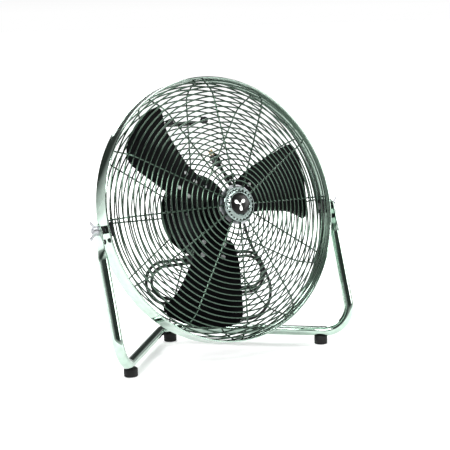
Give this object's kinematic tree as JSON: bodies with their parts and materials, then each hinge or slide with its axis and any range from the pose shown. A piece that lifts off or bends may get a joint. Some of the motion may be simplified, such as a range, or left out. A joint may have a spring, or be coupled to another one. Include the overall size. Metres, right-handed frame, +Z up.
{
  "type": "floor fan",
  "caption": "High-velocity caged floor fan on a bent-tube stand, with a tilting head, wide paddle blades, a rear speed knob and a coiled power cord.",
  "frame": {"origin": "on the floor under the middle of the box round the fan without its cord", "axes": "+X to the fan's left as it faces the viewer, along the pivots; +Y towards its back; +Z up"},
  "size_m": [0.735, 0.3808, 0.6994],
  "materials": {
    "stand_chrome": "bright chrome plating on steel tube",
    "guard_chrome": "bright chrome plating on steel wire and sheet",
    "zinc_steel": "zinc plated hardware",
    "foot_rubber": "matt black rubber",
    "black_plastic": "moulded black plastic",
    "motor_paint": "semi-gloss black paint",
    "core_steel": "stacked steel laminations",
    "winding_copper": null,
    "phenolic": "brown phenolic",
    "shaft_steel": "ground steel",
    "blade_paint": "gloss black paint on steel sheet",
    "cord_rubber": "black flexible jacket",
    "plug_brass": "brass blades"
  },
  "bodies": {
    "stand": {"frame_tube": "stand_chrome", "foot_front_left": "foot_rubber", "foot_front_right": "foot_rubber", "foot_rear": "foot_rubber", "foot_screws": "zinc_steel", "pivot_spacer_left": "foot_rubber", "pivot_spacer_right": "foot_rubber", "friction_pads": "foot_rubber"},
    "head": {"rim_band": "guard_chrome", "front_guard_rings": "guard_chrome", "front_guard_ribs": "guard_chrome", "rear_guard_rings": "guard_chrome", "rear_guard_ribs": "guard_chrome", "front_hub_plate": "zinc_steel", "badge_dish": "guard_chrome", "badge_label": "black_plastic", "pivot_block_left": "black_plastic", "pivot_block_right": "black_plastic", "pivot_bolt_left": "zinc_steel", "pivot_bolt_right": "zinc_steel", "motor_mount_plate": "guard_chrome", "mount_screws": "zinc_steel", "motor_shell": "motor_paint", "motor_front_bell": "motor_paint", "motor_rear_bell": "motor_paint", "front_bearing": "zinc_steel", "rear_bearing": "zinc_steel", "stator_core": "core_steel", "stator_windings": "winding_copper", "through_bolts": "zinc_steel", "capacitor": "black_plastic", "switch_cover": "black_plastic", "switch_body": "phenolic", "strain_relief": "cord_rubber", "cord_clip_left": "black_plastic", "cord_clip_right": "black_plastic", "cord_clip_upper": "black_plastic", "cord_inlet": "cord_rubber", "cord_hank": "cord_rubber", "cord_lead": "cord_rubber", "plug_body": "cord_rubber", "plug_blades": "plug_brass", "handle_wire": "guard_chrome", "handle_grip": "cord_rubber", "handle_clamps": "zinc_steel"},
    "rotor": {"motor_shaft": "shaft_steel", "rotor_core": "core_steel", "blade_hub": "blade_paint", "blade_1": "blade_paint", "blade_2": "blade_paint", "blade_3": "blade_paint", "blade_rivets": "blade_paint", "set_screw": "zinc_steel"},
    "left_nut": {"wing_nut_left": "zinc_steel"},
    "right_nut": {"wing_nut_right": "zinc_steel"},
    "knob": {"speed_knob": "black_plastic"}
  },
  "joints": [
    {"name": "head_tilt", "type": "hinge", "parent": "stand", "child": "head", "pos_m": [0, -0.07264, 0.3532], "axis": [1, 0, 0], "continuous": true},
    {"name": "rotor_spin", "type": "hinge", "parent": "head", "child": "rotor", "pos_m": [0, -0.06019, 0.37078], "axis": [0, -0.9724, 0.2334], "continuous": true},
    {"name": "left_nut_turn", "type": "hinge", "parent": "head", "child": "left_nut", "pos_m": [-0.345, -0.07264, 0.3532], "axis": [-1, 0, 0], "continuous": true},
    {"name": "right_nut_turn", "type": "hinge", "parent": "head", "child": "right_nut", "pos_m": [0.345, -0.07264, 0.3532], "axis": [1, 0, 0], "continuous": true},
    {"name": "speed_select", "type": "hinge", "parent": "head", "child": "knob", "pos_m": [0, 0.08372, 0.33623], "axis": [0, 0.9724, -0.2334], "range_deg": [0, 270]}
  ]
}
